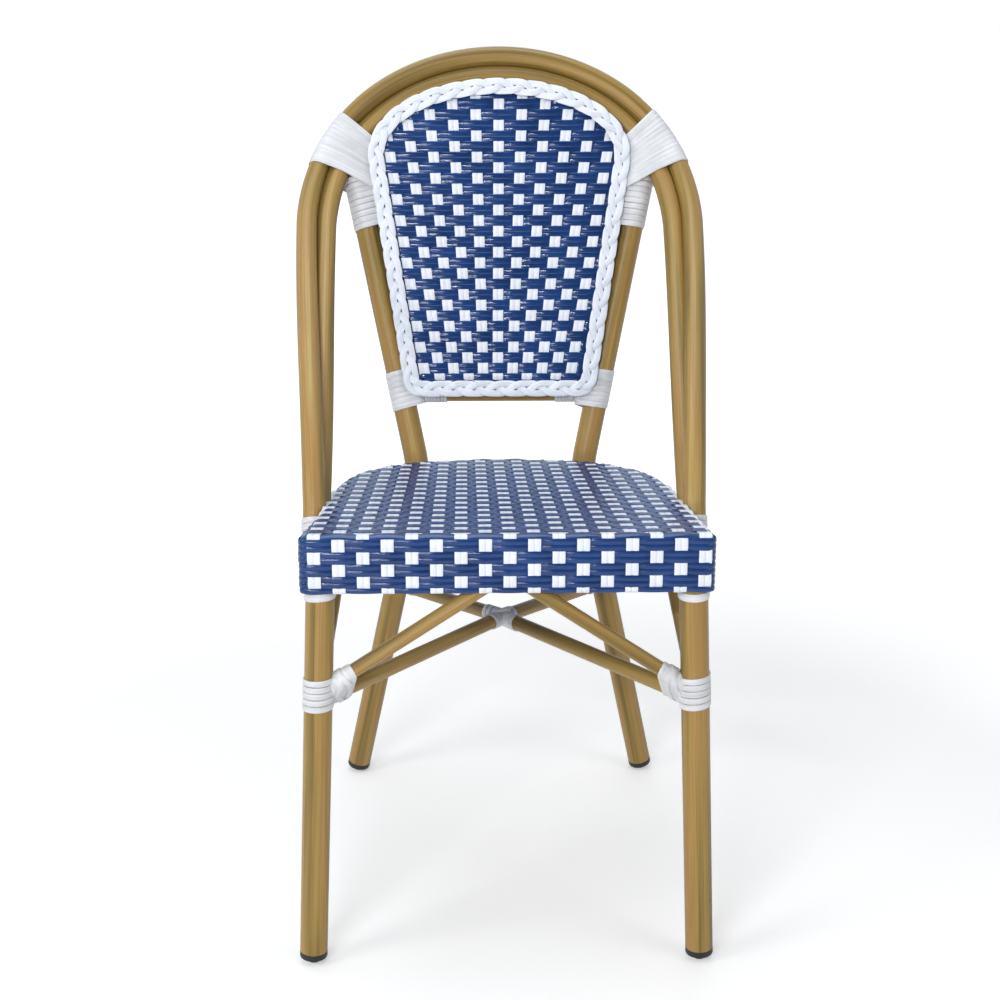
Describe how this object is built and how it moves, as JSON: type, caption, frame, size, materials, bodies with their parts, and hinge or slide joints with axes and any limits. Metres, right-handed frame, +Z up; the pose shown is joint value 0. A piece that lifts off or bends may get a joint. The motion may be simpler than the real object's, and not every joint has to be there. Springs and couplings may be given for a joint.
{
  "type": "rattan bistro chair",
  "caption": "Side chair of bent bamboo-look tubes with a double hoop back that sweeps down to the seat, a woven strip seat and back panel, and braced splayed legs.",
  "frame": {"origin": "centre of the chair's width and depth, on the floor under its feet", "axes": "+Z up, +X to the chair's right side as seen from the front, -Y out of the front of the seat"},
  "size_m": [0.4632, 0.5294, 0.8971],
  "materials": {
    "bamboo_tube": "satin printed bamboo pattern on aluminium tube",
    "white_strip": "flat extruded plastic strip, lightly glossy",
    "blue_weave": "woven plastic strip, blue with white squares",
    "frame_metal": "welded tube, hidden under the weave",
    "black_plastic": "moulded foot glide"
  },
  "bodies": {
    "root": {"back_bottom_rail": "bamboo_tube", "back_braid": "white_strip", "back_edge_rod": "frame_metal", "back_rail_binding_left": "white_strip", "back_rail_binding_right": "white_strip", "back_weave": "blue_weave", "cross_brace_front_arm": "bamboo_tube", "cross_brace_rear_arm": "bamboo_tube", "cross_brace_whole": "bamboo_tube", "crossing_lashing": "white_strip", "front_glide_left": "black_plastic", "front_glide_right": "black_plastic", "front_leg_left": "bamboo_tube", "front_leg_right": "bamboo_tube", "front_strut_left": "bamboo_tube", "front_strut_right": "bamboo_tube", "hoop_inner": "bamboo_tube", "hoop_outer": "bamboo_tube", "hoop_seat_binding_left": "white_strip", "hoop_seat_binding_right": "white_strip", "leg_lashing_left": "white_strip", "leg_lashing_right": "white_strip", "leg_top_binding_left": "white_strip", "leg_top_binding_right": "white_strip", "rear_glide_left": "black_plastic", "rear_glide_right": "black_plastic", "rear_lashing_left": "white_strip", "rear_lashing_right": "white_strip", "rear_leg_left": "bamboo_tube", "rear_leg_right": "bamboo_tube", "rear_leg_stub_left": "frame_metal", "rear_leg_stub_right": "frame_metal", "seat_post_1": "frame_metal", "seat_post_2": "frame_metal", "seat_post_3": "frame_metal", "seat_post_4": "frame_metal", "seat_post_5": "frame_metal", "seat_post_6": "frame_metal", "seat_rail_lower_front": "frame_metal", "seat_rail_lower_side_left": "frame_metal", "seat_rail_lower_side_right": "frame_metal", "seat_rail_upper": "frame_metal", "seat_support_bar_1": "frame_metal", "seat_support_bar_2": "frame_metal", "seat_weave": "blue_weave", "shoulder_binding_left": "white_strip", "shoulder_binding_right": "white_strip", "side_strut_left": "bamboo_tube", "side_strut_right": "bamboo_tube", "upright_binding_left": "white_strip", "upright_binding_right": "white_strip", "upright_lashing_left": "white_strip", "upright_lashing_right": "white_strip"}
  },
  "joints": []
}
